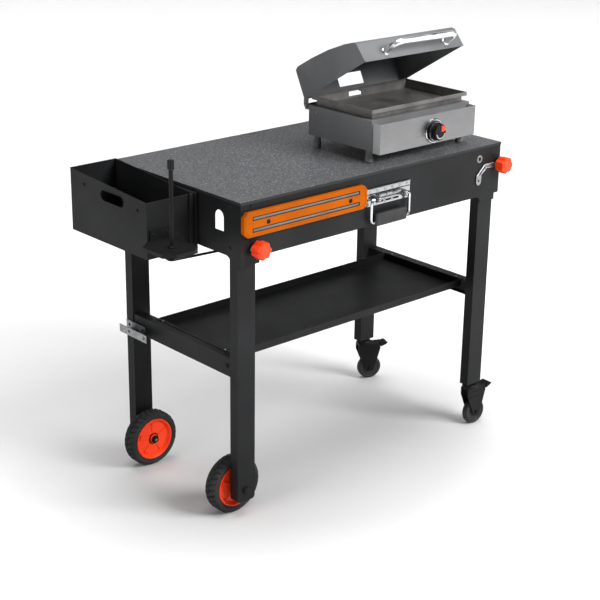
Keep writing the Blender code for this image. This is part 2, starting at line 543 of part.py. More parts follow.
# Griddle --------------------------------------------------------------------------
def griddle(root, m):
    """Table-top griddle, standing on the cart's top on four feet."""
    base = group("griddle_lift", (0, 0, TOP_Z), root)
    (x0, x1), (y0, y1) = GRIDDLE_X, GRIDDLE_Y
    z0, z1, lip = GRIDDLE_BASE, GRIDDLE_RIM, 0.020
    ring = [(x0, y0), (x1, y0), (x1, y1), (x0, y1)]
    inner = [(x0 + lip, y0 + lip), (x1 - lip, y0 + lip), (x1 - lip, y1 - lip),
             (x0 + lip, y1 - lip)]
    faces = [[(x, y, z0) for x, y in ring]]
    for k in range(4):
        a, b, c, d = ring[k], ring[(k + 1) % 4], inner[(k + 1) % 4], inner[k]
        faces.append([(*a, z0), (*b, z0), (*b, z1), (*a, z1)])
        faces.append([(*a, z1), (*b, z1), (*c, z1), (*d, z1)])
    body = sheet("griddle_body", m["graphite"], faces, 0.0012, base, at=(x0, y0, z0))
    for k, (fx, fy) in enumerate(((0.512, 0.078), (0.869, 0.078), (0.512, 0.282),
                                  (0.869, 0.282))):
        profile = [(0, GAP), (0.0095, GAP), (0.0115, 0.003), (0.0085, z0 + 0.0006),
                   (0, z0 + 0.0006)]
        weld(body, turned(f"foot_{k}", None, profile, "z", (fx, fy, 0), base, 16))
    pocket(body, (0.648, y1 - 0.010, z0 + 0.0030), (0.742, y1 + 0.010, 0.088), base)
    drill(body, "y", (DIAL_X, y0, DIAL_Z), 0.0085, 0.02, base)
    drill(body, "x", (x1, 0.200, 0.070), 0.0075, 0.02, base)

    t = 0.0012
    panel_x, py = (0.504, 0.877), 0.030
    zf = (0.030, 0.112)
    plan = [(panel_x[0], y0 - GAP), (panel_x[0], py), (panel_x[1], py),
            (panel_x[1], y0 - GAP), (panel_x[1] - t, y0 - GAP), (panel_x[1] - t, py + t),
            (panel_x[0] + t, py + t), (panel_x[0] + t, y0 - GAP)]
    panel = slab("front_panel", m["steel"], plan, "z", zf[0], zf[1], base)
    drill(panel, "y", (DIAL_X, py, DIAL_Z), 0.0065, 0.02, base)

    levels = ((0.010, PLATE_Z[0]), (0.010, PLATE_Z[1]), (0, PLATE_Z[1]), (0, PLATE_Z[2]))
    rings = []
    for inset, z in levels:
        (px0, px1), (py0, py1) = PLATE_X, PLATE_Y
        px0, px1, py0, py1 = px0 + inset, px1 - inset, py0 + inset, py1 - inset
        rings.append([(px0, py0, z), (px1, py0, z), (px1, py1, z), (px0, py1, z)])
    faces = [rings[0]]
    for low, high in zip(rings, rings[1:]):
        for k in range(4):
            faces.append([low[k], low[(k + 1) % 4], high[(k + 1) % 4], high[k]])
    plate = sheet("griddle_plate", m["plate"], faces, 0.0032, base,
                  at=(PLATE_X[0], PLATE_Y[0], PLATE_Z[0]))
    pocket(plate, (0.632, PLATE_Y[1] - 0.018, 0.1262), (0.682, PLATE_Y[1] + 0.004, 0.1400),
           base)

    path = rounded_path([(DIAL_X, 0.074, 0.066), (DIAL_X, 0.112, 0.088),
                         (0.560, 0.116, 0.088), (0.560, 0.215, 0.088),
                         (0.825, 0.215, 0.088), (0.825, 0.150, 0.088)], 0.016)
    rod("burner_tube", m["zinc"], path, 0.0085, base)
    valve = box("gas_valve", m["brass"], (DIAL_X - 0.016, 0.034, DIAL_Z - 0.015),
                (DIAL_X + 0.016, 0.0560, DIAL_Z + 0.015), base, 0.001)
    jet = [(0, 0.070), (0.0060, 0.070), (0.0070, 0.055), (0, 0.055)]
    weld(valve, turned("jet", None, jet, "y", (DIAL_X, 0, DIAL_Z), base, 16))
    drill(valve, "y", (DIAL_X, 0.034, DIAL_Z), 0.0040, 0.036, base, 16)
    gas = [(0, 0.8740), (0.0060, 0.8740), (0.0060, 0.8830), (0.0150, 0.8830),
           (0.0170, 0.8860), (0.0170, 0.8990), (0.0120, 0.9030), (0.0120, 0.9160),
           (0, 0.9160)]
    turned("gas_regulator", m["brass"], gas, "x", (0, 0.200, 0.070), base, 20)
    spark = [(0, 0.0370), (0.0040, 0.0370), (0.0040, 0.0760), (0.0012, 0.0770),
             (0.0012, 0.0950), (0, 0.0950)]
    turned("igniter_electrode", m["ceramic"], spark, "z", (0.640, 0.160, 0), base, 14)

    cx0, cx1, cz0, cz1 = 0.652, 0.738, z0 + 0.0046, 0.083
    cup_axis = group("grease_cup_slide", (0.695, 0.280, 0.060), base)
    cy0, cy1 = 0.232, 0.312
    ring = [(cx0 - 0.695, cy0 - 0.280), (cx1 - 0.695, cy0 - 0.280),
            (cx1 - 0.695, cy1 - 0.280), (cx0 - 0.695, cy1 - 0.280)]
    low, high = cz0 - 0.060, cz1 - 0.060
    faces = [[(x, y, low) for x, y in ring]]
    for a, b in zip(ring, ring[1:] + ring[:1]):
        faces.append([(*a, low), (*b, low), (*b, high), (*a, high)])
    cup = sheet("grease_cup", m["steel"], faces, 0.0010, cup_axis)
    tab = box("cup_tab", None, (-0.016, cy1 - 0.2806, high - 0.012),
              (0.016, cy1 - 0.268, high - 0.0105), cup_axis)
    weld(cup, tab)
    return base


def burner_dial(base, m):
    """Push-and-turn control. The stem slides in, and the dial turns on it."""
    bezel = [(0.0300, 0.0252), (0.0322, 0.0252), (0.0340, 0.0270), (0.0340, 0.0296),
             (0.0300, 0.0296)]
    turned("dial_bezel", m["chrome"], bezel, "y", (DIAL_X, 0, DIAL_Z), base, 32,
           loop=True)
    push = group("dial_push", (DIAL_X, 0.030, DIAL_Z), base)
    stem = [(0, -0.016), (0.0034, -0.016), (0.0034, 0.0120), (0, 0.0120)]
    turned("dial_stem", m["zinc"], stem, "y", (0, 0, 0), push, 16)
    spin = group("dial_turn", (0, 0, 0), push)
    dial = [(0, -0.0168), (0.0039, -0.0168), (0.0039, -0.0052), (0.0285, -0.0052),
            (0.0285, -0.0110), (0.0225, -0.0130), (0.0215, -0.0250), (0.0200, -0.0265),
            (0, -0.0265)]
    turned("dial", m["plastic"], dial, "y", (0, 0, 0), spin, 28)
    box("dial_pointer", m["orange"], (-0.0042, -0.0282, -0.0175),
        (0.0042, -0.0269, 0.0175), spin, at=(0, 0, 0))


def hood(base, m):
    """Lid in its closed frame, turned back about the hinge by its stand-open angle."""
    axis = group("hood_axis", (0, HINGE_Y, HINGE_Z), base, (-HOOD_OPEN, 0, 0))
    x0, x1 = GRIDDLE_X
    back_low, back_top = (0.000, 0.018), (0.001, 0.102)
    arch = [(0.012, 0.1085), (0.075, 0.1115), (0.150, 0.1105), (0.215, 0.1040),
            (0.250, 0.0970)]
    front = [(0.259, 0.0900), (0.272, 0.037)]
    skin = [back_low, back_top] + arch + front
    faces = []
    for (u0, w0), (u1, w1) in zip(skin, skin[1:]):
        faces.append([(x0, -u0, w0), (x1, -u0, w0), (x1, -u1, w1), (x0, -u1, w1)])
    for x in (x0, x1):
        faces.append([(x, -u, w) for u, w in skin])
    shell = sheet("hood", m["hood"], faces, 0.0012, axis, at=(0, 0, 0))
    for k, x in enumerate((x0, x1 - 0.0012)):
        ear = ([(0.0011, 0.0210), (0.0088, 0.0060)] + fillet(0, 0, 0.0088, 0, -180, 10)
               + [(-0.0200, 0.0210)])
        weld(shell, slab(f"hood_ear_{k}", None, ear, "x", x, x + 0.0012, axis))
        drill(shell, "x", (x + 0.0006, 0, 0), 0.0046, 0.008, axis, 18)
    pocket(shell, (0.640, -0.012, 0.034), (0.735, 0.012, 0.070), axis)
    out = (0.049, 0.0095)
    ends = ((0.586, 0.2686), (0.820, 0.2686))
    low = 0.0560
    corners = [(ends[0][0], -ends[0][1], low),
               (ends[0][0], -ends[0][1] - out[0], low + out[1]),
               (ends[1][0], -ends[1][1] - out[0], low + out[1]),
               (ends[1][0], -ends[1][1], low)]
    rod("hood_handle", m["chrome"], rounded_path(corners, 0.022, 6), 0.0085, axis,
        sides=3)
    for k, (a, b, ear) in enumerate(((0.5009, 0.532, (0.5015, 0.5030)),
                                     (0.849, 0.8801, (0.8780, 0.8795)))):
        name = ("hinge_left", "hinge_right")[k]
        y = GRIDDLE_Y[1] + GAP
        leaf = box(name, m["zinc"], (a, y, 0.090), (b, y + 0.0015, 0.1230), base)
        weld(leaf, box(f"{name}_ear", None, (ear[0], y + 0.0007, 0.1030),
                       (ear[1], 0.3245, 0.1215), base))
        pin_x = (0.4960, 0.5025) if k == 0 else (0.8785, 0.8850)
        pin = [(0, pin_x[1]), (0.004, pin_x[1]), (0.004, pin_x[0]), (0, pin_x[0])]
        weld(leaf, turned(f"{name}_pin", None, pin, "x", (0, HINGE_Y, HINGE_Z), base, 16))


# Assembly -------------------------------------------------------------------------
def build():
    for obj in list(bpy.data.objects):
        bpy.data.objects.remove(obj, do_unlink=True)
    m = {
        "black": paint("black_paint", (0.020, 0.021, 0.023), 0.42),
        "top": paint("hammered_top", (0.150, 0.155, 0.160), 0.55),
        "orange": paint("orange_plastic", (0.830, 0.075, 0.015), 0.40),
        "strip": paint("strip_orange", (0.620, 0.190, 0.020), 0.45),
        "steel": paint("brushed_steel", (0.520, 0.520, 0.520), 0.32, 1.0),
        "chrome": paint("chrome", (0.800, 0.800, 0.800), 0.12, 1.0),
        "zinc": paint("zinc_plate", (0.580, 0.580, 0.570), 0.38, 1.0),
        "rubber": paint("black_rubber", (0.022, 0.022, 0.023), 0.75),
        "tyre": paint("tyre_rubber", (0.020, 0.021, 0.022), 0.80),
        "plastic": paint("black_plastic", (0.018, 0.018, 0.019), 0.50),
        "graphite": paint("graphite_paint", (0.060, 0.062, 0.065), 0.45),
        "hood": paint("hood_paint", (0.075, 0.077, 0.080), 0.40),
        "plate": paint("cooking_plate", (0.065, 0.062, 0.060), 0.48, 0.6),
        "brass": paint("brass", (0.700, 0.480, 0.200), 0.30, 1.0),
        "ceramic": paint("white_ceramic", (0.800, 0.780, 0.740), 0.35),
    }
    root = group("station", (-ORIGIN[0], -ORIGIN[1], 0))
    table_top(root, m)
    aprons(root, m)
    for k, side in enumerate(("front", "back")):
        leg(f"leg_{side}_left", LEFT_LEG_X, LEFT_LEG_Y[k], LEFT_LEG_END, root, m)
        leg(f"leg_{side}_right", RIGHT_LEG_X, RIGHT_LEG_Y[k], RIGHT_LEG_END, root, m)
    crossbar("crossbar_left", 0.006, 1, LEFT_LEG_Y, root, m)
    crossbar("crossbar_right", RIGHT_LEG_X + LEG_X - 0.002, -1, RIGHT_LEG_Y, root, m)
    shelf(root, m)
    side_bracket(root, m)
    star_knob("knob_front_left", *LEFT_KNOB, True, 0.0005, root, m)
    star_knob("knob_front_right", *RIGHT_KNOB, True, 0.0037, root, m)
    star_knob("knob_back_left", *LEFT_KNOB, False, 0.0005, root, m)
    star_knob("knob_back_right", *RIGHT_KNOB, False, 0.0005, root, m)
    lock_strap(root, m)
    tool_strip(root, m)
    carry_handle(root, m)
    wheel("front", LEFT_LEG_Y[0] + LEG_Y + 0.003, -1, root, m)
    wheel("back", LEFT_LEG_Y[1] - 0.008 - WHEEL_W, 1, root, m)
    caster("front", RIGHT_LEG_Y[0] + LEG_Y / 2, CASTER_TURN[0], root, m)
    caster("back", RIGHT_LEG_Y[1] + LEG_Y / 2, CASTER_TURN[1], root, m)
    side_bin(root, m)
    base = griddle(root, m)
    burner_dial(base, m)
    hood(base, m)


build()
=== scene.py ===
"""Looks of the flat top griddle station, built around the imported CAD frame."""

import json
import math

import bmesh
import bpy
from mathutils import Matrix, Vector


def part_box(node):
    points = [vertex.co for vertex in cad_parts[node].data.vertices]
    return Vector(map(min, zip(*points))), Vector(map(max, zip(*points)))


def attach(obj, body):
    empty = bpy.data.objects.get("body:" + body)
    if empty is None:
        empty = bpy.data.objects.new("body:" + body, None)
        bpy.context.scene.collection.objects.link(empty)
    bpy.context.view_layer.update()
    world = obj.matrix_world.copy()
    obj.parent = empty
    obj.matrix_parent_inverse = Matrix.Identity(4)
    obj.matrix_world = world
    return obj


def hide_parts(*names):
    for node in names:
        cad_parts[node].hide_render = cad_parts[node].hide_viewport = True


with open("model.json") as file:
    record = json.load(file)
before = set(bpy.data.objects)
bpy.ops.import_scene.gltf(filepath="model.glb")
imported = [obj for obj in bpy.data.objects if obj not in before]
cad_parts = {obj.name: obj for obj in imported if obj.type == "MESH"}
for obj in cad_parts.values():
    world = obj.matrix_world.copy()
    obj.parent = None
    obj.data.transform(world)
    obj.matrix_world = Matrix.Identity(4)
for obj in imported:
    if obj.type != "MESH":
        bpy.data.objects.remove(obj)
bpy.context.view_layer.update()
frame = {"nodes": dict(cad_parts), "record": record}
NODES = frame["nodes"]


# Materials ------------------------------------------------------------------------
GREY = (0.18, 0.18, 0.18)        # stands in where a pattern gives the whole colour


class Shade:
    """A small builder for a procedural Principled material."""

    def __init__(self, name, color, rough, metal=0.0):
        self.mat = bpy.data.materials.new(name)
        self.mat.use_nodes = True
        self.tree = self.mat.node_tree
        self.bsdf = self.tree.nodes["Principled BSDF"]
        self.set("Base Color", (*color, 1.0))
        self.set("Roughness", rough)
        self.set("Metallic", metal)
        self.place = self.node("ShaderNodeTexCoord").outputs["Object"]

    def set(self, socket, value):
        self.bsdf.inputs[socket].default_value = value

    def node(self, kind, **settings):
        made = self.tree.nodes.new(kind)
        for key, value in settings.items():
            setattr(made, key, value)
        return made

    def wire(self, a, b):
        self.tree.links.new(a, b)

    def stretched(self, scale):
        mapping = self.node("ShaderNodeMapping")
        mapping.inputs["Scale"].default_value = scale
        self.wire(self.place, mapping.inputs["Vector"])
        return mapping.outputs["Vector"]

    def noise(self, scale, detail=3.0, rough=0.5, vector=None):
        made = self.node("ShaderNodeTexNoise")
        made.inputs["Scale"].default_value = scale
        made.inputs["Detail"].default_value = detail
        made.inputs["Roughness"].default_value = rough
        self.wire(vector or self.place, made.inputs["Vector"])
        return made.outputs["Fac"]

    def cells(self, scale, feature="F1", output="Distance"):
        made = self.node("ShaderNodeTexVoronoi", feature=feature)
        made.inputs["Scale"].default_value = scale
        self.wire(self.place, made.inputs["Vector"])
        return made.outputs[output]

    def ramp(self, value, stops):
        """A colour read from (place, colour) stops."""
        made = self.node("ShaderNodeValToRGB")
        points = made.color_ramp.elements
        while len(points) < len(stops):
            points.new(0.5)
        for point, (at, color) in zip(points, stops):
            point.position = at
            point.color = (*color, 1.0)
        self.wire(value, made.inputs["Fac"])
        return made.outputs["Color"]

    def span(self, value, low, high, to_low=0.0, to_high=1.0):
        """The value, stretched from low..high to to_low..to_high and clamped."""
        made = self.node("ShaderNodeMapRange")
        for key, number in (("From Min", low), ("From Max", high), ("To Min", to_low),
                            ("To Max", to_high)):
            made.inputs[key].default_value = number
        self.wire(value, made.inputs["Value"])
        return made.outputs["Result"]

    def math(self, how, a, b):
        made = self.node("ShaderNodeMath", operation=how)
        for slot, value in zip(made.inputs, (a, b)):
            if isinstance(value, (int, float)):
                slot.default_value = value
            else:
                self.wire(value, slot)
        return made.outputs["Value"]

    def mix(self, factor, a, b, how="MIX"):
        made = self.node("ShaderNodeMix", data_type="RGBA", blend_type=how)
        for slot, value in ((made.inputs[0], factor), (made.inputs[6], a),
                            (made.inputs[7], b)):
            if isinstance(value, (int, float)):
                slot.default_value = value
            elif isinstance(value, tuple):
                slot.default_value = (*value, 1.0)
            else:
                self.wire(value, slot)
        return made.outputs[2]

    def color(self, socket):
        self.wire(socket, self.bsdf.inputs["Base Color"])

    def rough(self, value, low, high):
        self.wire(self.span(value, 0.25, 0.75, low, high),
                  self.bsdf.inputs["Roughness"])

    def bump(self, value, height, strength=1.0):
        made = self.node("ShaderNodeBump")
        made.inputs["Strength"].default_value = strength
        made.inputs["Distance"].default_value = height
        self.wire(value, made.inputs["Height"])
        before = self.bsdf.inputs["Normal"].links
        if before:
            self.wire(before[0].from_socket, made.inputs["Normal"])
        self.wire(made.outputs["Normal"], self.bsdf.inputs["Normal"])

    def facing(self, axis):
        """How far a face looks along the frame's X, Y or Z."""
        parts = self.node("ShaderNodeSeparateXYZ")
        geometry = self.node("ShaderNodeNewGeometry")
        self.wire(geometry.outputs["Normal"], parts.inputs["Vector"])
        return parts.outputs[axis]

    def dust(self, color, amount):
        """A thin film that gathers on faces that look up."""
        patch = self.span(self.noise(18.0, 5.0), 0.45, 0.75)
        top = self.span(self.facing("Z"), 0.6, 1.0)
        factor = self.math("MULTIPLY", self.math("MULTIPLY", patch, top), amount)
        link = self.bsdf.inputs["Base Color"].links
        base = link[0].from_socket if link else tuple(
            self.bsdf.inputs["Base Color"].default_value)[:3]
        self.color(self.mix(factor, base, color))


def powder_coat(name, color, rough=0.42):
    """Baked powder coat: fine orange peel, with a slow change in gloss."""
    s = Shade(name, color, rough)
    s.bump(s.noise(1100.0, 2.0), 0.00005, 0.55)
    s.rough(s.noise(9.0, 4.0), rough - 0.05, rough + 0.07)
    lighter = tuple(c * 1.35 + 0.002 for c in color)
    s.color(s.mix(s.span(s.noise(5.0, 3.0), 0.35, 0.7), color, lighter))
    s.set("Specular IOR Level", 0.10)
    s.dust((0.10, 0.10, 0.10), 0.06)
    return s.mat


def hammered(name):
    """Speckled grey top coat with a hammered surface."""
    s = Shade(name, GREY, 0.5)
    big = s.noise(210.0, 4.0, 0.7)
    flecks = s.cells(430.0)
    grey = s.ramp(big, [(0.32, (0.022, 0.023, 0.025)), (0.46, (0.060, 0.062, 0.066)),
                        (0.57, (0.120, 0.122, 0.127)), (0.68, (0.30, 0.305, 0.31))])
    s.set("Specular IOR Level", 0.20)
    dark = s.ramp(flecks, [(0.10, (0.35, 0.35, 0.36)), (0.42, (1.0, 1.0, 1.0))])
    speckle = s.mix(0.75, grey, dark, "MULTIPLY")
    # Painted shade: faces that turn down or sideways, such as the top's front edge, are
    # coloured near black, darker than the lit top.
    s.color(s.mix(s.span(s.facing("Z"), 0.35, 0.80), (0.020, 0.0205, 0.0215), speckle))
    s.rough(big, 0.40, 0.62)
    s.bump(s.cells(330.0, "SMOOTH_F1"), 0.00022, 0.6)
    s.bump(big, 0.00008, 0.5)
    return s.mat


def moulded(name, color, rough, deep, glow=0.03, gloss=0.30):
    """Injection-moulded plastic: faint flow marks and an eggshell gloss."""
    s = Shade(name, color, rough)
    s.color(s.mix(s.span(s.noise(14.0, 3.0), 0.35, 0.75), color, deep))
    s.bump(s.noise(1500.0, 2.0), 0.00003, 0.45)
    s.rough(s.noise(30.0, 3.0), rough - 0.06, rough + 0.08)
    s.set("Specular IOR Level", gloss)
    s.set("Subsurface Weight", glow)
    s.set("Subsurface Radius", (0.004, 0.0015, 0.0008))
    s.set("Subsurface Scale", 0.5)
    return s.mat


def brushed(name, color, painted_lit_colour, rough=0.30):
    """Brushed steel with its grain along X. Faces that look to the left, its folded left
    end among them, are painted pale and matt as a painted highlight.
    """
    s = Shade(name, color, rough, 1.0)
    grain = s.noise(1.0, 4.0, 0.6, s.stretched((14.0, 900.0, 900.0)))
    s.rough(grain, rough - 0.08, rough + 0.14)
    s.bump(grain, 0.00003, 0.5)
    worked = s.mix(s.span(s.noise(7.0, 4.0), 0.35, 0.75), color,
                   tuple(c * 0.80 for c in color))
    # Painted highlight: faces that look to the left get the pale colour and lose their
    # metal, standing in for the light they would catch.
    free_of_painted_light = s.span(s.facing("X"), -0.85, -0.35)
    s.wire(free_of_painted_light, s.bsdf.inputs["Metallic"])
    s.color(s.mix(free_of_painted_light, painted_lit_colour, worked))
    s.set("Anisotropic", 0.45)
    return s.mat


def plated(name, color, rough, spangle=0.0):
    """Chrome or zinc plate, with smudges and, on zinc, a faint crystal pattern."""
    s = Shade(name, color, rough, 1.0)
    s.rough(s.noise(22.0, 5.0, 0.65), rough * 0.7, rough * 1.7 + 0.03)
    if spangle:
        grey = s.node("ShaderNodeRGBToBW")
        s.wire(s.cells(260.0, output="Color"), grey.inputs["Color"])
        s.color(s.mix(spangle, color, grey.outputs["Val"], "SOFT_LIGHT"))
        s.bump(s.noise(700.0, 2.0), 0.00003, 0.5)
    return s.mat


def rubber(name, color, rough):
    """Matt black rubber with a dusty bloom."""
    s = Shade(name, color, rough)
    s.bump(s.noise(900.0, 3.0), 0.00008, 0.6)
    s.color(s.mix(s.span(s.noise(24.0, 5.0), 0.40, 0.72), color,
                  tuple(c * 1.8 + 0.006 for c in color)))
    s.rough(s.noise(40.0, 3.0), rough - 0.08, rough + 0.10)
    s.dust((0.13, 0.12, 0.11), 0.22)
    return s.mat


def seasoned(name):
    """Oiled cooking steel: brown-black patches and a soft sheen."""
    s = Shade(name, GREY, 0.4, 0.35)
    patch = s.noise(11.0, 6.0, 0.62)
    s.color(s.ramp(patch, [(0.34, (0.080, 0.077, 0.074)), (0.52, (0.135, 0.130, 0.124)),
                           (0.68, (0.190, 0.181, 0.171))]))
    s.rough(patch, 0.30, 0.55)
    s.bump(s.noise(420.0, 4.0), 0.00006, 0.6)
    return s.mat


def cast_brass(name):
    """Brass with duller patches."""
    bright, dull = (0.66, 0.45, 0.19), (0.42, 0.29, 0.14)
    s = Shade(name, bright, 0.32, 1.0)
    s.rough(s.noise(60.0, 4.0), 0.24, 0.44)
    s.color(s.mix(s.span(s.noise(16.0, 4.0), 0.4, 0.7), bright, dull))
    return s.mat


MAT = {
    "black": powder_coat("black_coat", (0.0105, 0.0108, 0.0115)),
    "top": hammered("hammered_top"),
    "orange": moulded("orange_moulding", (0.92, 0.054, 0.006), 0.40,
                      (0.84, 0.040, 0.005), 0.05),
    "strip": moulded("strip_moulding", (0.420, 0.088, 0.0003), 0.50,
                     (0.350, 0.070, 0.0003), 0.0, 0.05),
    "steel": brushed("brushed_panel", (0.24, 0.24, 0.244), (0.42, 0.42, 0.425)),
    "chrome": plated("chrome_plate", (0.52, 0.53, 0.54), 0.13),
    "satin": plated("satin_tube", (0.72, 0.725, 0.73), 0.30),
    "latch": plated("latch_chrome", (0.34, 0.345, 0.35), 0.24),
    "bar": plated("bar_steel", (0.17, 0.165, 0.16), 0.36),
    "zinc": plated("zinc_plate", (0.27, 0.273, 0.278), 0.32, 0.35),
    "rubber": rubber("caster_rubber", (0.010, 0.010, 0.0108), 0.62),
    "tyre": rubber("tyre_rubber", (0.0085, 0.0088, 0.0092), 0.80),
    "plastic": moulded("black_moulding", (0.0085, 0.0085, 0.0092), 0.42,
                       (0.0065, 0.0065, 0.0070), 0.0, 0.12),
    "graphite": powder_coat("graphite_coat", (0.135, 0.137, 0.141), 0.42),
    "hood": powder_coat("hood_coat", (0.125, 0.128, 0.132), 0.40),
    "plate": seasoned("seasoned_plate"),
    "brass": cast_brass("cast_brass"),
    "ceramic": moulded("glazed_ceramic", (0.78, 0.75, 0.70), 0.25, (0.70, 0.66, 0.60)),
}


# Nodes that look different from the rest of their material slot.
OWN = {"handle_plate": "latch", "hood_handle": "satin", "tool_strip_bar_low": "bar",
       "tool_strip_bar_high": "bar"}
SHEET_SLOTS = ("black", "graphite", "hood", "steel", "top", "strip", "plate")
THIN = 0.004                     # below this, a node's edges get the smaller bevel
SHARP = 35.0                     # degrees: edges sharper than this stay sharp


def dress():
    """Gives every CAD node its material, and sheet pieces a small soft bevel."""
    slots = {row["node"]: row["material_slot"] for row in frame["record"]["subparts"]}
    for name, obj in NODES.items():
        obj.data.materials.clear()
        obj.data.materials.append(MAT[OWN.get(name, slots[name])])
        if slots[name] in SHEET_SLOTS:
            lo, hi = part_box(name)
            soft = obj.modifiers.new("soft_edge", "BEVEL")
            soft.width = 0.0004 if min(hi - lo) < THIN else 0.0007
            soft.segments = 2
            soft.limit_method = "ANGLE"
            soft.angle_limit = math.radians(SHARP)
            soft.harden_normals = True
        obj.data.shade_smooth()
        obj.data.set_sharp_from_angle(angle=math.radians(SHARP))


# Places on the CAD that the details meet ------------------------------------------
# All are in metres, counted from the table top's front left corner.
CORNER = Vector((-0.400, -0.250, 0.0))
APRON_FRONT, APRON_BACK = 0.001, 0.499        # just inside the aprons' outer faces
LEFT_KNOB, RIGHT_KNOB = (0.048, 0.751), (0.953, 0.814)            # x, z
STRIP_X, STRIP_Z, STRIP_FACE = (0.002, 0.420), (0.786, 0.849), -0.0120
STRIP_CUT = 0.012                             # its cut corners
HANDLE_X, HANDLE_FACE, HANDLE_Z = 0.508, -0.0018, 0.803
WHEEL_X, WHEEL_R, WHEEL_HALF, RIM_R = 0.030, 0.080, 0.0225, 0.0604
WHEEL_Y = {"front": 0.0720, "back": 0.4360}
CASTER_X, CASTER_TRAIL, CASTER_R = 0.914, 0.020, 0.0385
CASTERS = (("front", 0.021, -3.0), ("back", 0.478, -25.0))        # y, degrees turned
PEDAL_PIN = (0.0455, 0.1145)                  # ahead of the caster's stem, and up
BIN_X, BIN_Y, BIN_RIM = (-0.157, -0.014), (0.170, 0.500), (0.864, 0.886)
GRIDDLE_X = (0.499, 0.882)
DIAL_X, DIAL_Z = 0.710, 0.940
HINGE_Y, HINGE_Z, HOOD_OPEN = 0.316, 0.989, 27.0


# Detail pieces --------------------------------------------------------------------
LEFT, RIGHT, FRONT, BACK, UP = (Vector(v) for v in (
    (-1, 0, 0), (1, 0, 0), (0, -1, 0), (0, 1, 0), (0, 0, 1)))


def at(x, y, z):
    return CORNER + Vector((x, y, z))


def add(name, bm, mat, body, smooth=SHARP):
    """Turns a bmesh drawn in the frame into a piece that rides on a body."""
    bmesh.ops.recalc_face_normals(bm, faces=bm.faces)
    mesh = bpy.data.meshes.new(name)
    bm.to_mesh(mesh)
    bm.free()
    mesh.shade_smooth()
    mesh.set_sharp_from_angle(angle=math.radians(smooth))
    mesh.materials.append(MAT[mat])
    obj = bpy.data.objects.new(name, mesh)
    bpy.context.scene.collection.objects.link(obj)
    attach(obj, body)
    return obj


def lathe(bm, profile, centre, axis, steps=24, loop=False, wave=None):
    """Spins (radius, height) pairs about an axis. wave(k, angle) scales the radius of
    ring k."""
    n = Vector(axis).normalized()
    u = n.orthogonal().normalized()
    v = n.cross(u)
    rings = []
    for k, (r, h) in enumerate(profile):
        if r == 0:
            rings.append([bm.verts.new(centre + n * h)] * steps)
            continue
        ring = []
        for i in range(steps):
            t = 2 * math.pi * i / steps
            size = r * (wave(k, t) if wave else 1.0)
            ring.append(bm.verts.new(
                centre + n * h + (u * math.cos(t) + v * math.sin(t)) * size))
        rings.append(ring)
    for a, b in zip(rings, rings[1:] + (rings[:1] if loop else [])):
        for i in range(steps):
            j = (i + 1) % steps
            corners = []
            for vert in (a[i], a[j], b[j], b[i]):
                if vert not in corners:
                    corners.append(vert)
            if len(corners) > 2:
                bm.faces.new(corners)


def screw(bm, centre, axis, r=0.0042, h=0.0022):
    """Pan head with a cross recess."""
    def cross(k, t):
        return 0.38 + 0.62 * abs(math.cos(2 * t)) ** 3 if k in (4, 5) else 1.0
    lathe(bm, [(r, -0.0004), (r, 0.35 * h), (0.82 * r, 0.80 * h), (0.60 * r, h),
               (0.50 * r, h), (0.42 * r, 0.45 * h), (0, 0.42 * h)], centre, axis, 24,
          wave=cross)


def rivet(bm, centre, axis, r, h):
    """Low domed head."""
    lathe(bm, [(r, -0.0004), (r, 0.2 * h), (0.85 * r, 0.65 * h), (0.5 * r, 0.93 * h),
               (0, h)], centre, axis, 18)


def washer(bm, centre, axis, inner, outer, h):
    """Flat ring with its upper edges broken."""
    e = 0.25 * h
    lathe(bm, [(inner, 0), (outer, 0), (outer, h - e), (outer - e, h), (inner + e, h),
               (inner, h - e)], centre, axis, 32, loop=True)


def hexagon(bm, centre, axis, flats, h):
    """Bolt head or nut, sized across its flats."""
    r = flats / math.sqrt(3)
    lathe(bm, [(0, 0), (r, 0), (r, 0.82 * h), (0.88 * r, h), (0, h)], centre, axis, 6)


def block(bm, lo, hi, bevel):
    """Box with rounded edges."""
    lo, hi = at(*lo), at(*hi)
    made = bmesh.ops.create_cube(bm, size=1.0, matrix=Matrix.Translation((lo + hi) / 2)
                                 @ Matrix.Diagonal((*(hi - lo), 1.0)))
    edges = {e for v in made["verts"] for e in v.link_edges}
    bmesh.ops.bevel(bm, geom=list(edges), offset=bevel, segments=2, affect="EDGES")


def prism(bm, low, high):
    """Closes the solid between two outlines of the same length."""
    bm.faces.new(low)
    bm.faces.new(high)
    for i in range(len(low)):
        j = (i + 1) % len(low)
        bm.faces.new((low[i], low[j], high[j], high[i]))


def wire(name, points, radius, mat, body, closed=False, across=UP):
    """A thin bead along points, drawn as a mesh tube. It may not run along across."""
    bm = bmesh.new()
    count, rings = len(points), []
    for i, p in enumerate(points):
        before = points[i - 1] if closed or i else p
        after = points[(i + 1) % count] if closed or i < count - 1 else p
        d0, d1 = (p - before), (after - p)
        d0 = d0.normalized() if d0.length else d1.normalized()
        d1 = d1.normalized() if d1.length else d0
        run = (d0 + d1).normalized()
        side = run.cross(across).normalized()
        top = side.cross(run)
        grow = 1.0 / max(0.5, math.sqrt((1 + d0.dot(d1)) / 2))
        rings.append([bm.verts.new(p + (side * math.cos(t) * grow + top * math.sin(t))
                                   * radius)
                      for t in (2 * math.pi * k / 10 for k in range(10))])
    pairs = list(zip(rings, rings[1:])) + ([(rings[-1], rings[0])] if closed else [])
    for a, b in pairs:
        for k in range(10):
            bm.faces.new((a[k], a[(k + 1) % 10], b[(k + 1) % 10], b[k]))
    if not closed:
        bm.faces.new(rings[0])
        bm.faces.new(rings[-1])
    add(name, bm, mat, body)


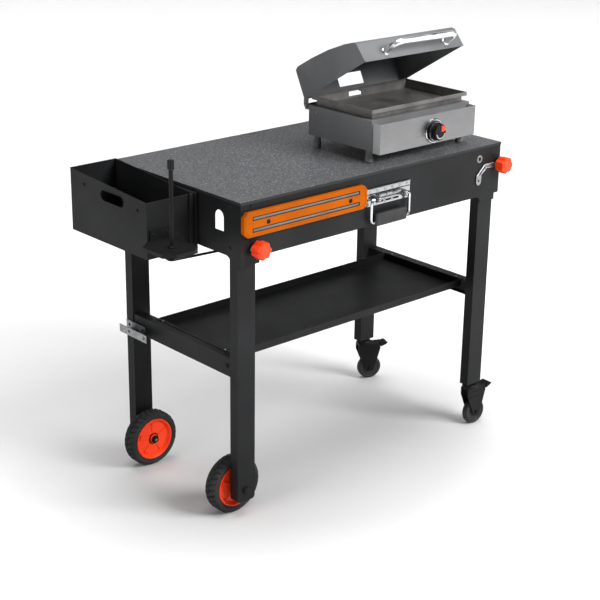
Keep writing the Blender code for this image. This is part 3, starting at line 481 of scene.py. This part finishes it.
def fasteners():
    """Screws, washers and bolts of the cart's frame, and the lock strap's relief, with
    painted shade in its eye and slot.
    """
    bm = bmesh.new()
    for y, z in ((0.035, 0.861), (0.043, 0.749), (0.465, 0.861), (0.457, 0.749)):
        screw(bm, at(0.001, y, z), LEFT, 0.0046)
    add("screws_left", bm, "black", "cart")
    bm = bmesh.new()
    for x, z in ((0.034, 0.863), (0.933, 0.841)):
        screw(bm, at(x, APRON_FRONT, z), FRONT, 0.0046)
        screw(bm, at(x, APRON_BACK, z), BACK, 0.0046)
    add("screws_front", bm, "black", "cart")
    bm = bmesh.new()
    washer(bm, at(0.874, 0.0012, 0.839), FRONT, 0.0056, 0.0112, 0.0016)
    add("eyelet", bm, "zinc", "cart")
    bm = bmesh.new()
    rivet(bm, at(0.874, 0.0011, 0.839), FRONT, 0.0053, 0.0012)
    add("eyelet_core", bm, "plastic", "cart")
    # Painted shade: a black dome in the strap's eye and a black bead along its slot
    # stand for the shade inside them.
    bm = bmesh.new()
    rivet(bm, at(0.872, -0.0021, 0.777), FRONT, 0.0030, 0.0008)
    add("strap_eye_shade", bm, "plastic", "cart")
    slot = [at(0.8735, -0.0022, 0.7925), at(0.8960, -0.0022, 0.8130)]
    wire("strap_slot_shade", slot, 0.0013, "plastic", "cart", False, FRONT)
    for k, edge in enumerate(([(0.8635, 0.7915), (0.8940, 0.8195), (0.9400, 0.8200)],
                              [(0.8825, 0.7955), (0.9030, 0.8095), (0.9400, 0.8085)])):
        wire(f"strap_edge_{k}", [at(x, -0.0024, z) for x, z in edge], 0.0011, "zinc",
             "cart", False, FRONT)
    bm = bmesh.new()
    for y in (0.050, 0.450):
        screw(bm, at(0.961, y, 0.852), RIGHT, 0.0046)
    add("end_screws", bm, "zinc", "cart")
    bm = bmesh.new()
    for (x, z), seat in ((LEFT_KNOB, 0.0009), (RIGHT_KNOB, -0.0023)):
        washer(bm, at(x, seat, z), FRONT, 0.0113, 0.0150, 0.0010)
        washer(bm, at(x, 0.4991, z), BACK, 0.0113, 0.0150, 0.0010)
    add("knob_washers", bm, "chrome", "cart")
    bm = bmesh.new()
    for x, y in ((0.0315, 0.100), (0.0315, 0.366), (0.9150, 0.100), (0.9150, 0.366)):
        screw(bm, at(x, y, 0.4527), UP, 0.0036)
    add("shelf_screws", bm, "zinc", "cart")
    bm = bmesh.new()
    for y in (0.062, 0.452):
        hexagon(bm, at(0.006, y, 0.4265), LEFT, 0.010, 0.004)
        hexagon(bm, at(0.941, y, 0.4265), RIGHT, 0.010, 0.004)
    add("crossbar_bolts", bm, "black", "cart")


def knob_faces():
    """Round cap in the middle of each knob's face."""
    reach = 0.0385
    for side, y, out in (("front", APRON_FRONT - reach, FRONT),
                         ("back", APRON_BACK + reach, BACK)):
        for end, (x, z) in (("left", LEFT_KNOB), ("right", RIGHT_KNOB)):
            bm = bmesh.new()
            lathe(bm, [(0.0158, -0.0006), (0.0158, 0.0006), (0.0150, 0.0013),
                       (0.0128, 0.0013), (0.0120, 0.0006), (0.0040, 0.0004),
                       (0, 0.0009)], at(x, y, z), out, 32)
            add(f"knob_face_{side}_{end}", bm, "orange", f"knob_{side}_{end}")


def strip_details():
    """Raised border, screws and bar seats of the tool strip."""
    (x0, x1), (z0, z1), y = STRIP_X, STRIP_Z, STRIP_FACE
    i = 0.0050
    k = STRIP_CUT + 0.4 * i
    ring = [(x0 + i, z0 + k), (x0 + k, z0 + i), (x1 - k, z0 + i), (x1 - i, z0 + k),
            (x1 - i, z1 - k), (x1 - k, z1 - i), (x0 + k, z1 - i), (x0 + i, z1 - k)]
    wire("strip_border", [at(x, y, z) for x, z in ring], 0.0010, "strip", "cart", True,
         FRONT)
    a, b, h = x0 + 0.0280, x1 - 0.0280, 0.0040
    for name, middle in (("low", 0.8025), ("high", 0.8325)):
        ring = [(a, middle - h), (b, middle - h), (b, middle + h), (a, middle + h)]
        wire(f"strip_seat_{name}", [at(x, y, z) for x, z in ring], 0.0011, "plastic",
             "cart", True, FRONT)
    bm = bmesh.new()
    for x in (0.080, 0.360):
        screw(bm, at(x, y + 0.0002, 0.8165), FRONT, 0.0060, 0.0024)
    add("strip_screws", bm, "black", "cart")


def handle_details():
    """Rivets, relief and pivot collars of the carry handle."""
    px, y = HANDLE_X, HANDLE_FACE
    bm = bmesh.new()
    for k in range(6):
        rivet(bm, at(px - 0.070 + 0.028 * k, y - 0.0012, 0.8235), FRONT, 0.0034, 0.0020)
    for dx in (-0.075, 0.075):
        rivet(bm, at(px + dx, y, 0.7885), FRONT, 0.0036, 0.0018)
    add("handle_rivets", bm, "latch", "cart")
    bm = bmesh.new()
    block(bm, (px - 0.082, y - 0.0015, 0.8180), (px + 0.082, y + 0.0003, 0.8290), 0.0006)
    block(bm, (px - 0.082, y - 0.0034, 0.8295), (px + 0.082, y + 0.0003, 0.8312), 0.0006)
    for x0, x1 in ((-0.0425, -0.0150), (-0.0135, 0.0135), (0.0150, 0.0425)):
        lathe(bm, [(0, x0), (0.0040, x0), (0.0048, x0 + 0.0008), (0.0048, x1 - 0.0008),
                   (0.0040, x1), (0, x1)], at(px, -0.0062, 0.8090), RIGHT, 20)
        block(bm, (px + x0, y - 0.0012, 0.7860), (px + x1, y + 0.0003, 0.7975), 0.0005)
    add("handle_relief", bm, "latch", "cart")
    bm = bmesh.new()
    for x0, x1 in ((-0.0395, -0.0180), (-0.0105, 0.0105), (0.0180, 0.0395)):
        block(bm, (px + x0, y - 0.0016, 0.7890), (px + x1, y - 0.0008, 0.7945), 0.0003)
    block(bm, (px - 0.081, y - 0.0006, 0.8150), (px + 0.081, y + 0.0003, 0.8172), 0.0002)
    block(bm, (px - 0.081, y - 0.0006, 0.7990), (px + 0.081, y + 0.0003, 0.8012), 0.0002)
    add("handle_shadows", bm, "plastic", "cart")
    bm = bmesh.new()
    for dx in (-0.050, 0.050):
        for sign in (-1, 1):
            lathe(bm, [(0.0049, 0), (0.0074, 0), (0.0074, 0.0014), (0.0062, 0.0018),
                       (0.0049, 0.0014)],
                  at(px + dx + sign * 0.0042, -0.0130, HANDLE_Z), RIGHT * sign, 20,
                  loop=True)
    add("handle_collars", bm, "latch", "cart")


def wheels():
    """Treaded tyres, and the relief of the moulded rims."""
    h, radius, rim = WHEEL_HALF, WHEEL_R, RIM_R
    lugs, shift = 30, {5: -0.5, 6: 0.0, 7: 0.5, 8: 1.0, 11: 1.0, 12: 0.5, 13: 0.0,
                       14: -0.5}

    def tread(k, t):
        """Cuts the lugs' gaps into the tread rings, staggered from side to side."""
        if k not in shift:
            return 1.0
        phase = (t * lugs / (2 * math.pi) + 0.28 * shift[k] + (k > 9) * 0.5) % 1.0
        return 1.0 - (0.040 if phase < 0.32 else 0.0)

    for side, y in WHEEL_Y.items():
        centre, body = at(WHEEL_X, y, radius), f"wheel_{side}"
        bm = bmesh.new()
        profile = [(rim, -h + 0.004), (0.0640, -h + 0.0012), (0.0660, -h + 0.0018),
                   (0.0690, -h + 0.0002), (0.0740, -h + 0.0022), (0.0772, -h + 0.0052),
                   (radius, -0.0120), (radius, -0.0068), (radius, -0.0013),
                   (0.0782, -0.0009), (0.0782, 0.0009), (radius, 0.0013),
                   (radius, 0.0068), (radius, 0.0120), (0.0772, h - 0.0052),
                   (0.0740, h - 0.0022), (0.0690, h - 0.0002), (0.0660, h - 0.0018),
                   (0.0640, h - 0.0012), (rim, h - 0.004)]
        lathe(bm, profile, centre, BACK, lugs * 12, loop=True, wave=tread)
        tyre = add(f"tread_{side}", bm, "tyre", body, 25.0)
        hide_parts(f"tyre_{side}")
        bm = bmesh.new()
        face = h - 0.0098
        for sign in (-1, 1):
            for k in range(5):
                t = math.radians(90 + 72 * k)
                along, across = (Vector((math.cos(t), 0, math.sin(t))),
                                 Vector((-math.sin(t), 0, math.cos(t))))
                low = [centre + along * r + across * w + BACK * sign * (face - 0.0015)
                       for r, w in ((0.015, -0.0055), (0.015, 0.0055), (0.0475, 0.0085),
                                    (0.0475, -0.0085))]
                high = [centre + along * r + across * w + BACK * sign * (face + 0.0026)
                        for r, w in ((0.016, -0.0040), (0.016, 0.0040), (0.0465, 0.0068),
                                     (0.0465, -0.0068))]
                prism(bm, [bm.verts.new(p) for p in low],
                      [bm.verts.new(p) for p in high])
            lathe(bm, [(0.0555, -0.001), (0.0596, -0.001), (0.0596, 0.0007),
                       (0.0588, 0.0013), (0.0563, 0.0013), (0.0555, 0.0007)],
                  centre + BACK * sign * (h - 0.0033), BACK * sign, 60, loop=True)
        add(f"rim_relief_{side}", bm, "orange", body)
        bm = bmesh.new()
        for sign in (-1, 1):
            washer(bm, centre + BACK * sign * (h - 0.0010), BACK * sign, 0.0056, 0.0116,
                   0.0007)
            lathe(bm, [(0.0124, 0), (0.0172, 0), (0.0160, 0.0032), (0.0124, 0.0032)],
                  centre + BACK * sign * (h - 0.0095), BACK * sign, 32, loop=True)
        add(f"hub_seal_{side}", bm, "plastic", body)
    bm = bmesh.new()
    lathe(bm, [(0.0090, 0), (0.0090, 0.0034), (0.0078, 0.0058), (0.0045, 0.0068),
               (0, 0.0070)], at(WHEEL_X, 0.0165, radius), FRONT, 28)
    lathe(bm, [(0.0086, 0), (0.0086, 0.0046), (0.0070, 0.0060), (0.0040, 0.0060),
               (0.0034, 0.0052), (0, 0.0052)], at(WHEEL_X, 0.4131, radius), FRONT, 28)
    add("axle_caps", bm, "plastic", "cart")
    bm = bmesh.new()
    hexagon(bm, at(WHEEL_X, 0.4965 + 0.0004, radius), BACK, 0.0150, 0.0052)
    hexagon(bm, at(WHEEL_X, 0.0953, radius), BACK, 0.0132, 0.0054)
    add("axle_nuts", bm, "zinc", "cart")


def casters():
    """Axle ends, pins, fork ribs and pedal treads of the casters."""
    for side, y, turn in CASTERS:
        spin = Matrix.Rotation(math.radians(turn), 3, "Z")
        stem, body = at(CASTER_X, y, 0), f"caster_{side}"
        across = spin @ BACK
        axle = stem + spin @ Vector((CASTER_TRAIL, 0, 0)) + UP * CASTER_R
        pin = stem + spin @ Vector((PEDAL_PIN[0], 0, 0)) + UP * PEDAL_PIN[1]
        bm = bmesh.new()
        for sign in (-1, 1):
            hexagon(bm, axle + across * sign * 0.0157, across * sign, 0.0095, 0.0030)
            rivet(bm, pin + across * sign * 0.0152, across * sign, 0.0044, 0.0014)
        washer(bm, stem + UP * 0.1250, UP, 0.0212, 0.0228, 0.0026)
        add(f"caster_fittings_{side}", bm, "plastic", body)
        bm = bmesh.new()
        for sign in (-1, 1):
            for r0, r1, z0, z1 in ((-0.014, 0.036, 0.1060, 0.1100),
                                   (-0.010, 0.034, 0.0900, 0.0930)):
                corners = [(r0, z0), (r1, z0), (r1, z1), (r0, z1)]
                prism(bm, *([bm.verts.new(stem + spin @ Vector((r * grow, 0, 0)) + UP * z
                                          + across * sign * out) for r, z in corners]
                            for grow, out in ((1.0, 0.0150), (0.97, 0.0165))))
        add(f"caster_ribs_{side}", bm, "plastic", body)
        bm = bmesh.new()
        rise, run = 0.0070, 0.0170
        slope = math.atan2(rise, run)
        for k in range(4):
            u = 0.0135 + 0.0040 * k
            w = -0.0050 + rise / run * (u - 0.0100) + 0.0105 - 0.0012 * k
            mid = pin + spin @ Vector((u, 0, 0)) + UP * w
            place = (Matrix.Translation(mid) @ spin.to_4x4()
                     @ Matrix.Rotation(-slope, 4, "Y")
                     @ Matrix.Diagonal((0.0014, 0.0300, 0.0018, 1.0)))
            bmesh.ops.create_cube(bm, size=1.0, matrix=place)
        add(f"pedal_ribs_{side}", bm, "plastic", f"caster_{side}_pedal")


def bin_details():
    """Hems and screws of the side bin, and the towel post's collar."""
    (x0, x1), (y0, y1), (front, back) = BIN_X, BIN_Y, BIN_RIM
    i = 0.0007
    rim = [(x0 + i, y0 + i, front), (x1 - i, y0 + i, front), (x1 - i, y1 - i, back),
           (x0 + i, y1 - i, back)]
    wire("bin_hem", [at(*p) for p in rim], 0.0014, "black", "bin", True)
    bm = bmesh.new()
    screw(bm, at(x0, 0.440, 0.853), LEFT, 0.0046)
    add("bin_screw", bm, "black", "bin")
    bm = bmesh.new()
    for x in (-0.140, -0.098):
        screw(bm, at(x, 0.1666, 0.783), FRONT, 0.0036)
    add("towel_screws", bm, "black", "bin")
    hole, r = [], 0.0147
    for end, a0 in ((0.352, -90), (0.280, 90)):
        for k in range(9):
            t = math.radians(a0 + 22.5 * k)
            hole.append(at(x0 - 0.0001, end + r * math.cos(t), 0.844 + r * math.sin(t)))
    wire("hand_hole_bead", hole, 0.0011, "black", "bin", True, LEFT)
    bm = bmesh.new()
    lathe(bm, [(0.0058, 0), (0.0105, 0), (0.0105, 0.0022), (0.0085, 0.0040),
               (0.0058, 0.0040)], at(-0.137, 0.095, 0.7682), UP, 28, loop=True)
    add("post_collar", bm, "plastic", "bin")


def table_details():
    """Hems of the table top and of the shelf tray."""
    ring = [(0.0008, 0.0008), (0.9622, 0.0008), (0.9622, 0.5292), (0.0008, 0.5292)]
    wire("top_hem", [at(x, y, 0.8672) for x, y in ring], 0.0011, "black", "cart", True)
    rim = [(0.0376, 0.0756), (0.9089, 0.0756), (0.9089, 0.3914), (0.0376, 0.3914)]
    wire("tray_hem", [at(x, y, 0.4519) for x, y in rim], 0.0011, "black", "cart", True)


def tilt(x, u, w):
    """A point of the hood at rest: u forward of its hinge and w above it when shut."""
    a = math.radians(HOOD_OPEN)
    return at(x, HINGE_Y - u * math.cos(a) + w * math.sin(a),
              HINGE_Z + u * math.sin(a) + w * math.cos(a))


def hood_details():
    """Washers of the hood's handle, its front hem and its studs."""
    x0, x1 = GRIDDLE_X
    out = (tilt(0, 0.971, 0.238) - tilt(0, 0, 0)).normalized()
    bm = bmesh.new()
    for x in (0.586, 0.820):
        lathe(bm, [(0.0088, 0), (0.0118, 0), (0.0118, 0.0014), (0.0100, 0.0034),
                   (0.0088, 0.0040)], tilt(x, 0.2673, 0.056), out, 28, loop=True)
    add("hood_handle_washers", bm, "satin", "hood")
    edge = [tilt(x, 0.2715, 0.0375) for x in (x0 + 0.001, x1 - 0.001)]
    wire("hood_hem", edge, 0.0018, "hood", "hood")
    bm = bmesh.new()
    for x, side in ((x0, LEFT), (x1, RIGHT)):
        for u, w in ((0.250, 0.052), (0.030, 0.085)):
            rivet(bm, tilt(x, u, w), side, 0.0034, 0.0015)
    add("hood_studs", bm, "hood", "hood")


def dial_details():
    """Grip ribs, scale ring and pointer wedge of the dial, and the griddle's screws."""
    cx, cz = DIAL_X, DIAL_Z
    bm = bmesh.new()
    for k in range(26):
        t = 2 * math.pi * k / 26
        place = (Matrix.Translation(at(cx + 0.0220 * math.cos(t), 0.0110,
                                       cz + 0.0220 * math.sin(t)))
                 @ Matrix.Rotation(-t, 4, "Y")
                 @ Matrix.Diagonal((0.0016, 0.0110, 0.0022, 1.0)))
        bmesh.ops.create_cube(bm, size=1.0, matrix=place)
    add("dial_ribs", bm, "plastic", "dial")
    bm = bmesh.new()
    washer(bm, at(cx, 0.0190, cz), FRONT, 0.0232, 0.0272, 0.0008)
    half = 0.0019
    for k in range(9):
        t = math.radians(200 + 17.5 * k)
        x, z = cx + 0.0165 * math.cos(t), cz + 0.0165 * math.sin(t)
        block(bm, (x - half, 0.0026, z - half), (x + half, 0.0036, z + half), 0.0004)
    add("dial_ring", bm, "chrome", "dial")
    bm = bmesh.new()
    arc = [math.radians(12 + 9 * k) for k in range(9)]
    shape = [(0.0030, arc[4])] + [(0.0192, t) for t in arc]
    prism(bm, *([bm.verts.new(at(cx + r * math.cos(t), y, cz + r * math.sin(t)))
                 for r, t in shape] for y in (0.0036, 0.0018)))
    wedge = add("dial_wedge", bm, "orange", "dial")
    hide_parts("dial_pointer")
    bm = bmesh.new()
    for x in (0.514, 0.867):
        screw(bm, at(x, 0.030, 0.979), FRONT, 0.0030, 0.0014)
    for x, side in zip(GRIDDLE_X, (LEFT, RIGHT)):
        for y in (0.085, 0.275):
            screw(bm, at(x, y, 0.975), side, 0.0030, 0.0014)
    add("griddle_screws", bm, "zinc", "griddle")
    bm = bmesh.new()
    for a, b in ((0.5009, 0.532), (0.849, 0.8801)):
        for x in (a + 0.008, b - 0.008):
            screw(bm, at(x, 0.3069, 0.974), BACK, 0.0030, 0.0014)
    add("hinge_screws", bm, "zinc", "griddle")


AZIMUTH, ELEVATION, ROLL = -42.263, 20.492, 0.837      # of the camera, in degrees
EYE = (-2.5277, -2.8103, 1.8711)


def studio():
    """Pale floor that runs up to a back wall, soft lights and the camera."""
    bm = bmesh.new()
    front, back, height, bend, half = -9.0, 10.0, 9.0, 2.0, 20.0
    path = [(front, 0.0)]
    path += [(back + bend * math.sin(t), bend - bend * math.cos(t))
             for t in (math.radians(9 * k) for k in range(11))]
    path += [(back + bend, height)]
    rows = []
    turn = Matrix.Rotation(math.radians(AZIMUTH), 4, "Z")
    for u, z in path:
        rows.append([bm.verts.new(turn @ Vector((w, u, z))) for w in (-half, half)])
    for a, b in zip(rows, rows[1:]):
        bm.faces.new((a[0], a[1], b[1], b[0]))
    mesh = bpy.data.meshes.new("sweep")
    bm.to_mesh(mesh)
    bm.free()
    mesh.shade_smooth()
    floor = bpy.data.objects.new("sweep", mesh)
    bpy.context.scene.collection.objects.link(floor)
    s = Shade("sweep_paper", GREY, 0.9)
    # Painted shadow: the paper is coloured grey under the cart and pales out by 1.5 m
    # from the middle, a soft shadow pool that also lets the real shadows show.
    reach = s.node("ShaderNodeVectorMath", operation="LENGTH")
    s.wire(s.place, reach.inputs[0])
    s.color(s.mix(s.span(reach.outputs["Value"], 0.45, 1.50), (0.58, 0.58, 0.58),
                  (0.96, 0.96, 0.96)))
    s.rough(s.noise(4.0, 2.0), 0.85, 0.95)
    mesh.materials.append(s.mat)

    world = bpy.data.worlds.new("studio")
    bpy.context.scene.world = world
    world.use_nodes = True
    # The room is brighter on the caster end's side than on the bin's.
    tree = world.node_tree
    split = tree.nodes.new("ShaderNodeSeparateXYZ")
    shade = tree.nodes.new("ShaderNodeMapRange")
    tree.links.new(tree.nodes.new("ShaderNodeTexCoord").outputs["Generated"],
                   split.inputs["Vector"])
    tree.links.new(split.outputs["X"], shade.inputs["Value"])
    for key, number in (("From Min", -1.0), ("From Max", 0.6), ("To Min", 0.55),
                        ("To Max", 1.35)):
        shade.inputs[key].default_value = number
    # Seen directly past the sweep's edge, it is as pale as the sweep.
    seen = tree.nodes.new("ShaderNodeMath")
    seen.operation = "MULTIPLY"
    seen.inputs[1].default_value = 19.0
    tree.links.new(tree.nodes.new("ShaderNodeLightPath").outputs["Is Camera Ray"],
                   seen.inputs[0])
    level = tree.nodes.new("ShaderNodeMath")
    level.operation = "MAXIMUM"
    tree.links.new(shade.outputs["Result"], level.inputs[0])
    tree.links.new(seen.outputs["Value"], level.inputs[1])
    tree.links.new(level.outputs["Value"], tree.nodes["Background"].inputs["Strength"])
    bpy.context.scene.view_settings.view_transform = "Standard"

    def lamp(name, place, aim, power, width, height):
        data = bpy.data.lights.new(name, "AREA")
        data.shape = "RECTANGLE"
        data.size, data.size_y = width, height
        data.energy = power
        obj = bpy.data.objects.new(name, data)
        obj.location = place
        obj.rotation_euler = (Vector(aim) - Vector(place)).to_track_quat(
            "-Z", "Y").to_euler()
        bpy.context.scene.collection.objects.link(obj)

    lamp("key", (1.6, -3.8, 3.2), (0.1, 0.0, 0.6), 290, 2.4, 1.8)
    lamp("side", (-3.8, -0.2, 2.2), (0.0, 0.0, 0.6), 45, 1.6, 2.2)
    data = bpy.data.lights.new("ceiling", "SUN")
    data.energy = 2.7
    data.angle = math.radians(50)
    ceiling = bpy.data.objects.new("ceiling", data)
    ceiling.rotation_euler = (math.radians(-4), math.radians(3), 0)
    bpy.context.scene.collection.objects.link(ceiling)


def camera():
    """Three-quarter view from the bin end."""
    data = bpy.data.cameras.new("camera")
    data.lens, data.sensor_width = 85.96, 36.0
    obj = bpy.data.objects.new("camera", data)
    bpy.context.scene.collection.objects.link(obj)
    a, e, roll = (math.radians(v) for v in (AZIMUTH, ELEVATION, ROLL))
    back = Vector((math.sin(a) * math.cos(e), -math.cos(a) * math.cos(e), math.sin(e)))
    right = (-back).cross(UP).normalized()
    up = right.cross(-back)
    rolled_right = right * math.cos(roll) + up * math.sin(roll)
    rolled_up = up * math.cos(roll) - right * math.sin(roll)
    rows = Matrix((rolled_right, rolled_up, back)).transposed()
    obj.matrix_world = Matrix.Translation(EYE) @ rows.to_4x4()
    bpy.context.scene.camera = obj


dress()
fasteners()
knob_faces()
strip_details()
handle_details()
wheels()
casters()
bin_details()
table_details()
hood_details()
dial_details()
studio()
camera()
